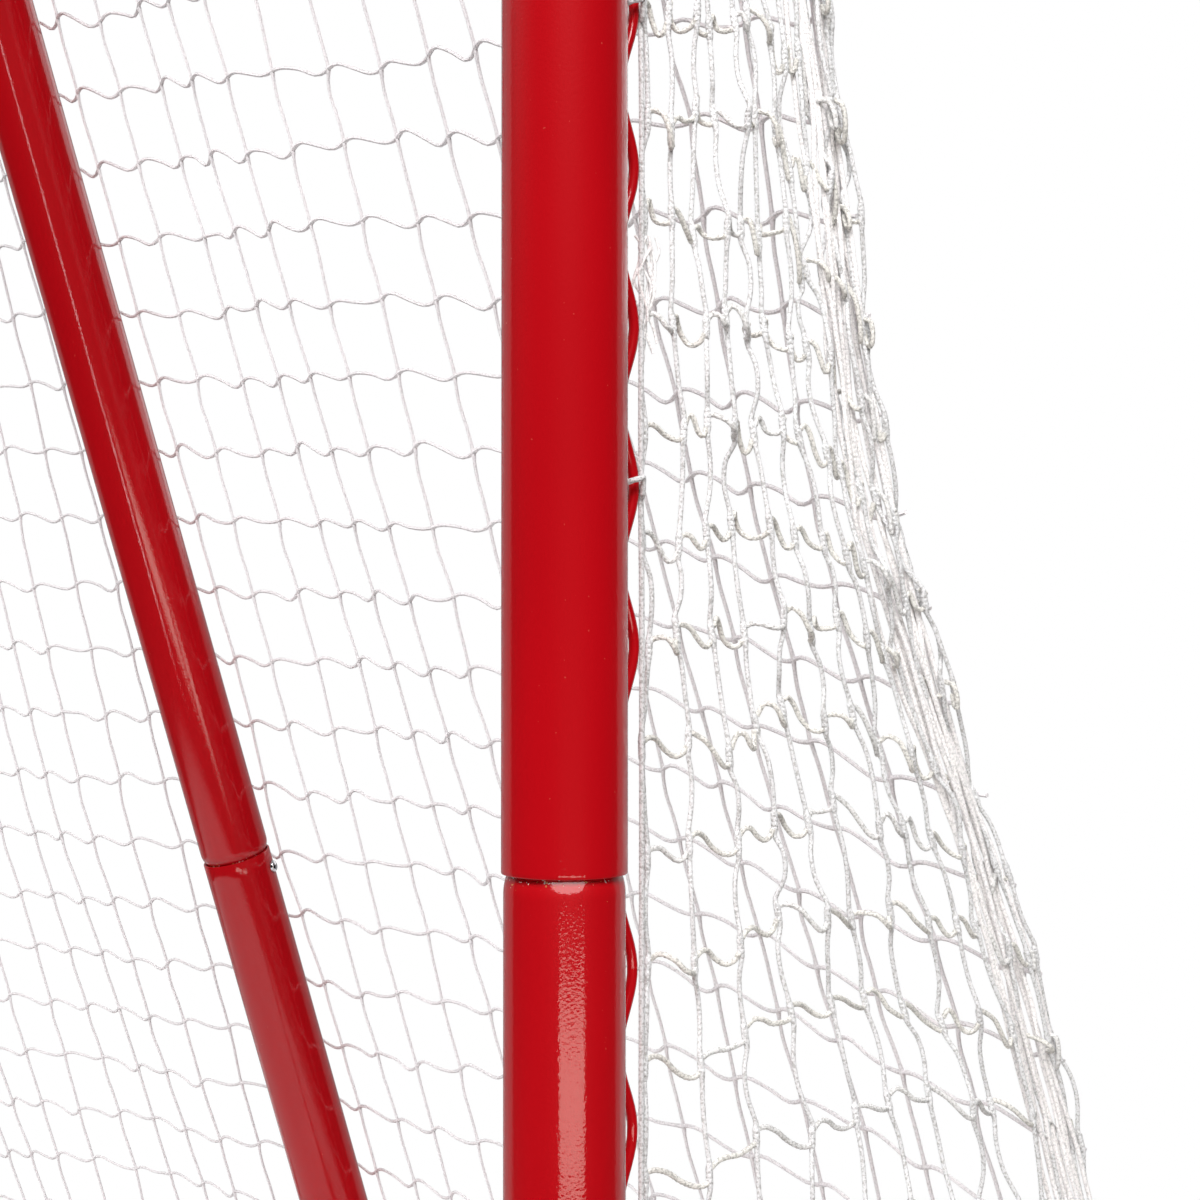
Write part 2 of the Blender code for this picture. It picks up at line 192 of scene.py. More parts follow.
class Strands:
    """Many swept strands in one mesh. None of them runs along the normal."""

    def __init__(self, normal, braided=False):
        self.normal, self.braided = np.asarray(normal, float), braided
        self.points, self.faces, self.tint, self.count = [], [], [], 0

    def add(self, control, step, sides=6, tint=0.0):
        """Control rows are x, y, z, radius. The rings are about step apart."""
        path = resampled(np.asarray(control, float), step)
        line, radius = path[:, :3], path[:, 3]
        along = np.gradient(line, axis=0)
        along /= np.linalg.norm(along, axis=1)[:, None]
        across = np.cross(along, self.normal)
        across /= np.linalg.norm(across, axis=1)[:, None]
        up = np.cross(across, along)
        rings = len(line)
        odd = np.arange(rings) % 2 * int(self.braided)
        angle = math.tau * (np.arange(sides)[None, :] + odd[:, None] / 2) / sides
        if self.braided:  # every other ring is wider, as yarns that cross
            radius = radius * (1 + 0.1 * (odd - 0.5))
        spread = up[:, None] * np.cos(angle)[..., None] + across[:, None] * np.sin(angle)[..., None]
        ring = line[:, None] + radius[:, None, None] * spread
        self.points.append(ring.reshape(-1, 3))
        self.tint.append(np.full(rings * sides, tint))
        self.faces += strand_faces(rings, sides, self.braided, self.count)
        self.count += rings * sides

    def mesh(self, name):
        """The strands' mesh. Braided ones keep their facets, which show as yarns."""
        points, tint = np.vstack(self.points), np.concatenate(self.tint)
        return mesh_of(name, points, self.faces, {"tint": tint}, not self.braided)


def strand_faces(rings, sides, braided, base):
    """The faces of a capped strand whose points start at base. A braided one has triangles."""
    faces = []
    for k in range(rings - 1):
        quads = band(base + k * sides, base + (k + 1) * sides, sides)
        if not braided:
            faces += quads
        elif k % 2:
            faces += [[a, b, c] for a, b, c, d in quads] + [[a, c, d] for a, b, c, d in quads]
        else:
            faces += [[a, b, d] for a, b, c, d in quads] + [[b, c, d] for a, b, c, d in quads]
    last = base + (rings - 1) * sides
    return faces + [list(range(base, base + sides))[::-1], list(range(last, last + sides))]


def band(low, high, sides):
    """The quads between two rings of points that start at low and high."""
    j = np.arange(sides)
    after = (j + 1) % sides
    return np.stack([low + j, low + after, high + after, high + j], 1).tolist()


# Material helpers

class Nodes:
    """Short ways to add and link the nodes of a tree."""

    def __init__(self, owner):
        owner.use_nodes = True
        self.tree = owner.node_tree

    def node(self, kind):
        return self.tree.nodes.new("ShaderNode" + kind)

    def link(self, source, target):
        self.tree.links.new(source, target)

    def math(self, operation, first, second):
        node = self.node("Math")
        node.operation = operation
        for socket, value in zip(node.inputs, (first, second)):
            if isinstance(value, float):
                socket.default_value = value
            else:
                self.link(value, socket)
        return node.outputs["Value"]

    def mix_shader(self, share, first, second):
        node = self.node("MixShader")
        for source, socket in zip((share, first, second), node.inputs):
            self.link(source, socket)
        return node.outputs["Shader"]


class Surface(Nodes):
    """A Principled material and short ways to shape it."""

    def __init__(self, name, roughness, metallic=0.0, **sockets):
        self.material = bpy.data.materials.new(name)
        super().__init__(self.material)
        self.shader = self.tree.nodes["Principled BSDF"]
        self.shader.inputs["Roughness"].default_value = roughness
        self.shader.inputs["Metallic"].default_value = metallic
        for socket, value in sockets.items():
            self.shader.inputs[socket.replace("_", " ")].default_value = value
        self.where = self.node("TexCoord").outputs["Object"]

    def noise(self, scale, detail=2.0, stretch=(1, 1, 1)):
        mapping = self.node("Mapping")
        mapping.inputs["Scale"].default_value = stretch
        self.link(self.where, mapping.inputs["Vector"])
        node = self.node("TexNoise")
        node.inputs["Scale"].default_value = scale
        node.inputs["Detail"].default_value = detail
        self.link(mapping.outputs["Vector"], node.inputs["Vector"])
        return node.outputs["Fac"]

    def ramp(self, source, low, high, first=(0, 0, 0), last=(1, 1, 1)):
        """A smooth change from the first colour at low to the last at high."""
        node = self.node("ValToRGB")
        node.color_ramp.interpolation = "EASE"
        start, end = node.color_ramp.elements
        start.position, end.position = low, high
        start.color, end.color = (*first, 1), (*last, 1)
        self.link(source, node.inputs["Fac"])
        return node.outputs["Color"]

    def attribute(self, name):
        node = self.node("Attribute")
        node.attribute_name = name
        return node.outputs["Fac"]

    def mix(self, share, first, second):
        """A colour mix. A colour may be a tuple or another node's output."""
        node = self.node("Mix")
        node.data_type = "RGBA"
        self.link(share, node.inputs["Factor"])
        for socket, value in ((node.inputs["A"], first), (node.inputs["B"], second)):
            if isinstance(value, tuple):
                socket.default_value = (*value, 1)
            else:
                self.link(value, socket)
        return node.outputs["Result"]

    def colour(self, source):
        self.link(source, self.shader.inputs["Base Color"])

    def bump(self, height, strength, distance, targets=("Normal",)):
        node = self.node("Bump")
        node.inputs["Strength"].default_value = strength
        node.inputs["Distance"].default_value = distance
        self.link(height, node.inputs["Height"])
        for target in targets:
            self.link(node.outputs["Normal"], self.shader.inputs[target])


def powder_coat(name, red, peel):
    """Glossy red powder coat with orange peel, faint clouding and chips where wear is 1; the chips'
    near-white tone is partly a painted glint.
    """
    made = Surface(name, 0.42, Specular_IOR_Level=0.08, Coat_Weight=0.9, Coat_Roughness=0.06)
    dark = tuple(0.86 * part for part in red)
    colour = made.ramp(made.noise(9, 3, (1, 1, 0.25)), 0.35, 0.65, dark, red)
    speck = made.ramp(made.noise(700, 0), 0.87, 0.89)
    colour = made.mix(speck, colour, (0.6, 0.05, 0.04))
    wear = made.attribute("wear")
    patch = made.ramp(made.noise(70, 0), 0.45, 0.6, (0.14,) * 3, (0.3,) * 3)
    chips = made.math("ADD", made.noise(620, 2), made.math("MULTIPLY", wear, patch))
    bare = made.ramp(chips, 0.83, 0.845)
    # Chipped paint in orange and near-white: real wear, with the near-white partly a painted glint
    # standing in for sparkle on bare metal.
    chip_glint_tone = made.ramp(made.noise(500, 0), 0.45, 0.6, (0.75, 0.38, 0.12), (0.92, 0.86, 0.86))
    made.colour(made.mix(bare, colour, chip_glint_tone))
    made.link(made.ramp(bare, 0.0, 1.0, (0.42,) * 3, (0.2,) * 3), made.shader.inputs["Roughness"])
    height = made.math("SUBTRACT", made.noise(760, 1.5), made.math("MULTIPLY", bare, 0.5))
    made.bump(height, 1.0, peel, ("Normal", "Coat Normal"))
    return made.material


def chrome():
    """Nickel-plated button: brushed rings and small scratches."""
    made = Surface("chrome_button", 0.16, 1.0)
    made.colour(made.ramp(made.noise(500, 3), 0.3, 0.7, (0.6, 0.6, 0.62), (0.83, 0.83, 0.85)))
    made.link(made.ramp(made.noise(1400, 2), 0.3, 0.8, (0.1,) * 3, (0.32,) * 3),
              made.shader.inputs["Roughness"])
    made.bump(made.noise(2500, 2), 0.25, 0.00002)
    return made.material


def spring_steel():
    made = Surface("spring_steel", 0.34, 1.0)
    made.colour(made.ramp(made.noise(160, 4), 0.35, 0.7, (0.3, 0.3, 0.32), (0.52, 0.52, 0.55)))
    made.bump(made.noise(1500, 2, (1, 1, 0.1)), 0.3, 0.00003)
    return made.material


def twine(name, white, shade, beige, contrast):
    """Braided twine: grey specks of painted shade between the yarns, and a beige cast on the cross
    strands.
    """
    made = Surface(name, 0.62, Specular_IOR_Level=0.35)
    # Painted shade: noise darkens specks of the twine and of its beige cast, as shade between the
    # yarns.
    yarn_shade_noise = made.noise(900, 1)
    low, high = 0.5 - contrast, 0.5 + contrast / 3
    yarn_shade = made.ramp(yarn_shade_noise, low, high, shade, white)
    warm = made.ramp(yarn_shade_noise, low, high, tuple(0.6 * part for part in beige), beige)
    made.colour(made.mix(made.attribute("tint"), yarn_shade, warm))
    made.bump(made.noise(1600, 1), 0.6, 0.0004)
    return made.material


# Tubes

def round_end(radius, height, way, inward):
    """The outer or the inner edge of a plain rim. Way is 1 at the far end, -1 at the near one."""
    if inward:
        return [(radius - WALL, height - way * RIM_ROUND), (radius - WALL + RIM_ROUND / 2, height)]
    return [
        (radius, height - way * RIM_ROUND),
        (radius - RIM_ROUND * 0.3, height - way * RIM_ROUND * 0.3),
        (radius - RIM_ROUND, height),
    ]


def neck_outside(radius, height, way):
    """From the full tube over a rounded shoulder to the tip of the swaged end."""
    points = []
    for step in range(13):
        share = step / 12
        drop = (radius - NECK_R) * share**2
        points.append((radius - drop, height - way * SHOULDER * (1 - share)))
    tip = height + way * NECK_LENGTH
    return points + [(NECK_R, tip - way * 0.002), (NECK_R - 0.0007, tip)]


def neck_inside(radius, height, way):
    tip = height + way * NECK_LENGTH
    inner = NECK_R - WALL
    return [(radius - WALL, height - way * SHOULDER), (inner, height), (inner, tip)]


def worn(height, length, low, high):
    """How much the coat is chipped: most at a swaged shoulder, none past WEAR_REACH from it."""
    ends = [abs(height)] * low + [abs(length - height)] * high
    return max(0.0, 1 - min(ends, default=1.0) / WEAR_REACH)


def lathe(name, profile, place_of, normal, sides=TUBE_SIDES):
    """A closed profile of (radius, height, wear) swept round the line that place_of gives.
    The side towards -Y, the front, is worn most."""
    rings, wear = [], []
    for radius, height, rub in profile:
        point, along = place_of(height)
        circle = unit_circle(along, (normal - normal.project(along)).normalized(), sides)
        rings.append(np.array(point) + radius * circle)
        wear += (rub * (0.7 - 0.3 * circle[:, 1])).tolist()
    return looped(name, rings, wear)


def unit_circle(along, up, sides):
    turn = np.linspace(0, math.tau, sides, endpoint=False)
    return np.outer(np.cos(turn), up) + np.outer(np.sin(turn), along.cross(up))


def looped(name, rings, wear):
    """A closed mesh through the rings, the last one joined to the first."""
    count, sides = len(rings), len(rings[0])
    faces = []
    for k in range(count):
        faces += band(k * sides, (k + 1) % count * sides, sides)
    return mesh_of(name, np.vstack(rings), faces, {"wear": wear})


def straight_tube(name, start, end, radius, necks):
    length, along = (end - start).length, (end - start).normalized()
    low, high = "start" in necks, "end" in necks
    outer = neck_outside(radius, 0, -1)[::-1] if low else round_end(radius, 0, -1, False)[::-1]
    near = SHOULDER + 0.004
    outer += [(radius, near), (radius, 0.05), (radius, length - 0.05), (radius, length - near)]
    outer += neck_outside(radius, length, 1) if high else round_end(radius, length, 1, False)
    inner = neck_inside(radius, 0, -1)[::-1] if low else round_end(radius, 0, -1, True)[::-1]
    inner += neck_inside(radius, length, 1) if high else round_end(radius, length, 1, True)
    profile = [(r, h, worn(h, length, low, high)) for r, h in outer + inner[::-1]]
    normal = X if abs(along.x) < 0.5 else Z
    return lathe(name, profile, lambda h: (start + along * h, along), normal)


def bent_line(corners):
    """Stations of (point, direction) along the corners, with an arc at each inner corner."""
    stations = [(corners[0], (corners[1] - corners[0]).normalized())]
    for before, corner, after in zip(corners, corners[1:], corners[2:]):
        on, off = (corner - before).normalized(), (after - corner).normalized()
        centre = corner + (off - on) * BEND_R
        for step in range(BEND_STEPS + 1):
            turn = math.radians(90) * step / BEND_STEPS
            arm = on * math.sin(turn) - off * math.cos(turn)
            stations.append((centre + arm * BEND_R, on * math.cos(turn) + off * math.sin(turn)))
    stations.append((corners[-1], (corners[-1] - corners[-2]).normalized()))
    return stations


def bent_tube(name, corners):
    stations = bent_line(corners)
    last = len(stations) - 1

    def place_of(height):
        """Whole heights are stations. A height past an end is in metres from it."""
        if height < 1:
            point, along = stations[0]
            return point + along * height, along
        if height > last:
            point, along = stations[last]
            return point + along * (height - last - 1), along
        return stations[int(height)]

    def rims(inward):
        start = [(r, h, RIM_WEAR) for r, h in round_end(TUBE_R, 0, -1, inward)[::-1]]
        return start, [(r, last + 1 + h, RIM_WEAR) for r, h in round_end(TUBE_R, 0, 1, inward)]

    start, end = rims(False)
    outer = start + [(TUBE_R, 0.002, 0.0), (TUBE_R, 0.014, 0.0)]
    outer += [(TUBE_R, k, 0.0) for k in range(1, last)]
    outer += [(TUBE_R, last + 0.986, 0.0), (TUBE_R, last + 0.998, 0.0)] + end
    start, end = rims(True)
    inner = start + [(TUBE_R - WALL, k, 0.0) for k in range(1, last)] + end
    turns = [after[1].cross(before[1]) for before, after in zip(stations, stations[1:])]
    first = next(turn for turn in turns if turn.length > 0.001).normalized()
    flat = all(abs(first.dot(along)) < 0.001 for _, along in stations)
    profile = outer + inner[::-1]
    if flat:
        return lathe(name, profile, place_of, first)
    return carried_lathe(name, profile, place_of, stations, first)


def carried_lathe(name, profile, place_of, stations, first):
    """As lathe, for a line that bends in two planes: each ring's start is carried along it."""
    normals = [first]
    for (_, before), (_, after) in zip(stations, stations[1:]):
        normals.append(before.rotation_difference(after) @ normals[-1])
    last = len(stations) - 1
    rings, wear = [], []
    for radius, height, rub in profile:
        point, along = place_of(height)
        up = normals[0] if height < 1 else normals[min(last, int(height))]
        rings.append(np.array(point) + radius * unit_circle(along, up, TUBE_SIDES))
        wear += [rub] * TUBE_SIDES
    return looped(name, rings, wear)


def cut(mesh, cutters):
    """The mesh with the cutters taken out of it."""
    item = added("uncut", mesh)
    for cutter in cutters:
        boolean = item.modifiers.new("cut", "BOOLEAN")
        boolean.operation = "DIFFERENCE"
        boolean.solver = "EXACT"
        boolean.object = cutter
    bpy.context.view_layer.update()
    done = bpy.data.meshes.new_from_object(item.evaluated_get(bpy.context.evaluated_depsgraph_get()))
    for used in (item, *cutters):
        bpy.data.objects.remove(used, do_unlink=True)
    done.set_sharp_from_angle(angle=math.radians(35))
    return done


def cylinder(radius, start, end, sides):
    bpy.ops.mesh.primitive_cylinder_add(vertices=sides, radius=radius, depth=(end - start).length)
    item = bpy.context.object
    item.matrix_world = frame_of((start + end) / 2, end - start, Vector((0.3, 0.5, 0.7)))
    return item


def joint_list():
    """Each slip joint: its name, rim, way into the plain end, button side, inset and two tubes."""
    joints = []
    for side, way in SIDES.items():
        post = Vector((way * HALF_WIDTH, POST_Y, 0))
        for name, rim, into, plain in (
            ("post_middle_", post + Z * POST_RIM_Z, Z, "post_upper_"),
            ("post_foot_", post + Z * FOOT_RIM_Z, -Z, "base_side_"),
        ):
            tubes = (plain + side, "post_lower_" + side)
            joints.append((name + side, rim, into, -X * way, BUTTON_INSET, *tubes))
        for name, centre, out, plain, necked in (
            ("top_corner_", BAR_MIDDLE, -Z, "post_upper_", "crossbar"),
            ("rear_corner_", REAR_MIDDLE, -Y, "base_side_", "rear_bar"),
        ):
            rim = centre + X * way * LEG_X
            joints.append((name + side, rim, X * way, out, BUTTON_INSET, plain + side, necked))
    aside = (X + STAY.cross(X)).normalized()
    for name, rim, into, inset, plain, necked in (
        ("stay_head", STAY_HEAD, STAY, BUTTON_INSET, "stay_head_socket", "stay_upper"),
        ("stay_foot", STAY_FOOT, -STAY, BUTTON_INSET, "stay_foot_socket", "stay_lower"),
        ("stay_middle", STAY_JOINT, -STAY, STAY_BUTTON_INSET, "stay_lower", "stay_upper"),
    ):
        joints.append((name, rim, into, aside, inset, plain, necked))
    return joints


def tube_shapes():
    """Every tube by name, before its button holes and copes are cut."""
    tubes, both = {}, ("start", "end")
    for side, way in SIDES.items():
        foot = Vector((way * HALF_WIDTH, POST_Y, 0))
        heel = Vector((way * HALF_WIDTH, REAR_Y, BASE_Z))
        leg = way * LEG_X
        upper, lower, base = "post_upper_" + side, "post_lower_" + side, "base_side_" + side
        top = [foot + Z * POST_RIM_Z, foot + Z * BAR_Z, Vector((leg, POST_Y, BAR_Z))]
        tubes[upper] = bent_tube(upper, top)
        low, high = foot + Z * FOOT_RIM_Z, foot + Z * POST_RIM_Z
        tubes[lower] = straight_tube(lower, low, high, LOWER_POST_R, both)
        rail = [low, foot + Z * BASE_Z, heel, Vector((leg, REAR_Y, BASE_Z))]
        tubes[base] = bent_tube(base, rail)
    for name, centre in (("crossbar", BAR_MIDDLE), ("rear_bar", REAR_MIDDLE)):
        tubes[name] = straight_tube(name, centre - X * LEG_X, centre + X * LEG_X, TUBE_R, both)
    for name, start, end, necks in (
        ("stay_head_socket", BAR_MIDDLE, STAY_HEAD, ()),
        ("stay_foot_socket", REAR_MIDDLE, STAY_FOOT, ()),
        ("stay_lower", STAY_FOOT, STAY_JOINT, ("start",)),
        ("stay_upper", STAY_JOINT, STAY_HEAD, both),
    ):
        tubes[name] = straight_tube(name, start, end, TUBE_R, necks)
    return tubes


def make_tubes(red):
    tubes = tube_shapes()
    cutters = {name: [] for name in tubes}
    for name, rim, into, out, inset, plain, necked in joint_list():
        centre = rim + into * inset
        for tube in (plain, necked):
            hole = cylinder(HOLE_R, centre + out * 0.012, centre + out * 0.034, 40)
            cutters[tube].append(hole)
    for name, centre in (("stay_head_socket", BAR_MIDDLE), ("stay_foot_socket", REAR_MIDDLE)):
        half = X * TUBE_R * 2
        cutters[name].append(cylinder(TUBE_R + 0.0002, centre - half, centre + half, 96))
    for name, mesh in tubes.items():
        shape = cut(mesh, cutters[name])
        place(name + "_coated", shape, red, (name,))


def weld_beads(red):
    """The fillet weld round each coped socket, with its ripples."""
    for name, root, along in (
        ("stay_head_weld", BAR_MIDDLE, -STAY),
        ("stay_foot_weld", REAR_MIDDLE, STAY),
    ):
        side = along.cross(X)
        points = []
        for step in range(181):
            turn = math.tau * step / 180
            off = TUBE_R * math.sin(turn)
            reach = math.sqrt(max(0.0, (TUBE_R + 0.001) ** 2 - off**2))
            spot = root + X * (TUBE_R * math.cos(turn)) + side * off + along * reach
            ripple = 0.0026 + 0.0003 * math.sin(turn * 38) + RANDOM.normal(0, 0.00008)
            points.append((*spot, ripple))
        bead = Strands(along)
        bead.add(points, 0.0012, 10)
        place(name, bead.mesh(name), red)


# Snap buttons

def make_buttons(steel, plating):
    button, spring = button_mesh(), spring_mesh()
    for name, rim, into, out, inset, *_ in joint_list():
        matrix = frame_of(rim + into * inset, -into, out)
        body = "snap_button_" + name
        for piece, mesh, surface, slot, rides in (
            ("snap_button_", button, plating, "button_chrome", body),
            ("button_spring_", spring, steel, "spring_steel", "frame"),
        ):
            shape = mesh.copy()
            shape.transform(matrix)
            place(piece + name + "_plated", shape, surface, (piece + name,), rides)


def button_mesh():
    """A domed button and the leaf under it. X points out through the tube wall."""
    dome = [(BUTTON_R * math.sin(t), BUTTON_TOP - DOME_RISE + DOME_RISE * math.cos(t))
            for t in np.linspace(0.02, math.pi / 2, 12)]
    skirt = [(BUTTON_R, 0.0202), (0.0047, 0.0199), (0.0056, 0.0198), (0.0058, 0.0196)]
    foot = [(0.0058, 0.0189), (0.0056, 0.0187), (0.0004, 0.0187)]
    profile = [(r, h, 0.0) for r, h in (dome + skirt + foot)[::-1]]
    turned = lathe("button", profile, lambda h: (X * h, X), Z, 40)
    leaf = strip([(LEAF_SIDE, -0.005), (LEAF_SIDE, 0.0335)])
    return joined("button", [turned, leaf])


def strip(line):
    """The flat spring strip along (out, along) points, with rounded long edges."""
    line = np.array(line, float)
    ahead = np.gradient(line, axis=0)
    ahead /= np.linalg.norm(ahead, axis=1)[:, None]
    normal = np.stack([-ahead[:, 1], ahead[:, 0]], 1)
    thick, half, edge = LEAF_THICKNESS, LEAF_WIDTH / 2, LEAF_THICKNESS / 3
    outline = [(0, -half), (-edge, edge - half), (-edge, half - edge), (0, half)]
    outline += [(edge - thick, half), (-thick, half - edge), (-thick, edge - half)]
    outline.append((edge - thick, -half))
    points = []
    for (out, along), (nx, ny) in zip(line, normal):
        points += [(out + nx * lift, side, along + ny * lift) for lift, side in outline]
    return mesh_of("strip", np.array(points), strand_faces(len(line), len(outline), False, 0))


def spring_mesh():
    """The fixed leg and the bend of the U spring, in the button's frame."""
    start = 0.034
    centre, reach = (WALL_SIDE + LEAF_SIDE) / 2, (LEAF_SIDE - WALL_SIDE) / 2
    line = [(WALL_SIDE, -0.005), (WALL_SIDE, 0.01), (WALL_SIDE, 0.025)]
    for step in range(33):
        turn = math.pi * step / 32
        line.append((centre - reach * math.cos(turn), start + reach * math.sin(turn)))
    return strip(line)


def joined(name, meshes):
    points, faces, base = [], [], 0
    for mesh in meshes:
        points += [tuple(v.co) for v in mesh.vertices]
        faces += [[base + v for v in face.vertices] for face in mesh.polygons]
        base += len(mesh.vertices)
    return mesh_of(name, np.array(points), faces)


# Lacing rods and cords

def scalloped_rod(name, start, along, outward, radius, waves, red):
    """A wavy rod with a small weld where it touches its tube."""
    rod = Strands(along.cross(outward))
    points = []
    for step in range(waves * 12 + 1):
        turn = math.tau * step / 12
        lift = radius + 0.0003 + ROD_R + SCALLOP_RISE * (1 - math.cos(turn)) / 2
        spot = start + along * SCALLOP_PITCH * step / 12 + outward * lift
        points.append((*spot, ROD_R))
    rod.add(points, 0.004, 12)
    for wave in range(waves + 1):
        spot = start + along * SCALLOP_PITCH * wave + outward * (radius + 0.0008)
        reach = 0.0042 + RANDOM.normal(0, 0.0003)
        blob = [(-1, 0.0008), (-0.75, 0.0021), (-0.3, 0.0029), (0.3, 0.003), (0.75, 0.002), (1, 0.0008)]
        rod.add([(*(spot + along * reach * t), size) for t, size in blob], 0.0012, 12)
    place(name + "_coated", rod.mesh(name), red, (name,))


def wrap(spot, along, outward, across):
    """One turn of the cord under a hump, from the outside and back to it."""
    turns = (
        (-0.011, CORD_LIFT, 0),
        (-0.004, 0.0107, 0.0052),
        (-0.002, 0.0055, 0.0046),
        (0, 0.0034, 0),
        (0.002, 0.0055, -0.0046),
        (0.004, 0.0107, -0.0052),
        (0.011, CORD_LIFT, 0),
    )
    return [spot + along * f + outward * (TUBE_R + lift) + across * s for f, lift, s in turns]


def lacing_cord(name, along, outward, rods, white):
    across = along.cross(outward)
    lift = outward * (TUBE_R + CORD_LIFT)
    points = [rods[0][0] - along * CORD_OVERHANG + lift]
    for start, waves in rods:
        for wave in range(1 if waves > WRAP_EVERY else 0, waves, WRAP_EVERY):
            points += wrap(start + along * SCALLOP_PITCH * (wave + 0.5), along, outward, across)
    last, waves = rods[-1]
    points.append(last + along * (SCALLOP_PITCH * waves + CORD_OVERHANG) + lift)
    cord = Strands(across, True)
    cord.add([(*p, CORD_R) for p in points], 0.0014, 8)
    place(name + "_braided", cord.mesh(name), white, (name,))


def make_lacing(red, white):
    for side, way in SIDES.items():
        axis = Vector((way * HALF_WIDTH, POST_Y, 0))
        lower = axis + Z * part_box("lacing_rod_post_lower_" + side)[0].z
        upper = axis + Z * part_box("lacing_rod_post_upper_" + side)[0].z
        scalloped_rod("lacing_rod_post_upper_" + side, upper, Z, Y, TUBE_R, UPPER_WAVES, red)
        scalloped_rod("lacing_rod_post_lower_" + side, lower, Z, Y, LOWER_POST_R, LOWER_WAVES, red)
        rods = [(lower, LOWER_WAVES), (upper, UPPER_WAVES)]
        lacing_cord("lacing_cord_post_" + side, Z, Y, rods, white)
        rail_y = (POST_Y + REAR_Y) / 2 - SCALLOP_PITCH * (RAIL_WAVES / 2)
        rail = Vector((way * HALF_WIDTH, rail_y, BASE_Z))
        scalloped_rod("lacing_rod_rail_" + side, rail, Y, Z, TUBE_R, RAIL_WAVES, red)
        lacing_cord("lacing_cord_rail_" + side, Y, Z, [(rail, RAIL_WAVES)], white)
    half = X * SCALLOP_PITCH * (BAR_WAVES / 2)
    for name, centre, outward in (("crossbar", BAR_MIDDLE, Y), ("rear_bar", REAR_MIDDLE, BACK_TOP)):
        scalloped_rod("lacing_rod_" + name, centre - half, X, outward, TUBE_R, BAR_WAVES, red)
        lacing_cord("lacing_cord_" + name, X, outward, [(centre - half, BAR_WAVES)], white)


# Net: one sheet, laced round the mouth, that hangs behind the stay and folds forward at the sides

MESH = 0.0508
ROWS = 28
TOP_Z = BAR_Z + 0.0007
BOTTOM_Z = TOP_Z - MESH * ROWS
SLOPE = -STAY.y / STAY.z
LEAD_COLUMN = 0.018  # the first column to the right of the stay
COLUMN_PITCH = 0.0525
SIDE_COLUMNS = 12
EDGE = TUBE_R + NET_LIFT  # first side column behind the post's axis
CORNER = 0.1  # the net is tied off below the posts' top bends
BACK_COLUMNS = range(-14, 15)
BACK_NORMAL = (0.0, STAY.z, -STAY.y)
SIDE_NORMAL = (1.0, 0.0, 0.0)
SIDE_TOP = TOP_Z - CORNER
SIDE_LOW = BASE_Z + TUBE_R + NET_LIFT
BACK_TWINE = 0.95  # the back net's twine, as a share of the near twine's radius
DOUBLED = (0.0, 2 * TWINE_R)  # the two lines of a hem
KNOT_SPAN = 0.047  # the taut length that a side knot's places are shares of
GATHER, BILLOW, CORNER_TIE = 0.036, 0.125, 0.03  # the furthest that each moves the net
FOLDED_STRANDS = 12
FRAYED_YARNS = 8
FRAYED_TOP = 1.022


def ease(value):
    t = min(1.0, max(0.0, value))
    return t * t * (3 - 2 * t)


def gather(z):
    """How far a side's fold is pulled forward, most at mid height."""
    return GATHER * math.exp(-(((z - 0.92) / 0.2) ** 2))


def billow(x, z):
    """The slack left half hangs forward of the plane, more the further it is from the stay."""
    forward = min(BILLOW, 0.2 * max(0.0, -x - 0.02))
    return forward * min(1.0, (TOP_Z - z) / 0.8) * ease((z - BOTTOM_Z) / 0.22)


def depth(z, way):
    """The fold of the net behind the post's axis."""
    return (BAR_Z - z) * SLOPE + EDGE - gather(z) - billow(way * HALF_WIDTH, z)


def corner_pull(z):
    """The rear lower corners are tied in over the rail's bend."""
    return CORNER_TIE * ease((0.26 - z) / 0.2)


def back_point(x, z):
    near_fold = ease((abs(x) - 0.56) / 0.2)
    slack = 0.006 * math.sin(x * 21 + z * 5) * ease((TOP_Z - z) / 0.2) * ease((z - BOTTOM_Z) / 0.2)
    clear = ease((abs(x) - 0.03) / 0.08)
    back = (BAR_Z - z) * SLOPE + EDGE - near_fold * gather(z) + slack * clear - 0.006 * (1 - clear)
    back -= billow(x, z)
    tied = corner_pull(z) * ease((abs(x) - 0.6) / 0.16)
    return np.array([x - math.copysign(tied, x), POST_Y + back - tied, z])


def drift(x, z):
    """How far a row has slipped down from level at x."""
    tilt = min(0.04, max(-0.16, -0.3 * (z - 0.78)))
    inner = max(-0.45, min(0.45, x))
    fall = tilt * inner - 0.16 * max(0.0, abs(x) - 0.45)
    return fall * ease((TOP_Z - z) / 0.25) * ease((z - BOTTOM_Z) / 0.25)


def column_x(index, z):
    """A back column's place. The first one right of the stay is caught at the stay's joint."""
    x = LEAD_COLUMN + COLUMN_PITCH * index
    if index == 0:
        x -= 0.014 * math.exp(-(((z - 0.69) / 0.06) ** 2))
    return max(-HALF_WIDTH, min(HALF_WIDTH, x))


def back_top(x):
    return TOP_Z - max(0.0, abs(x) - HALF_WIDTH + CORNER)


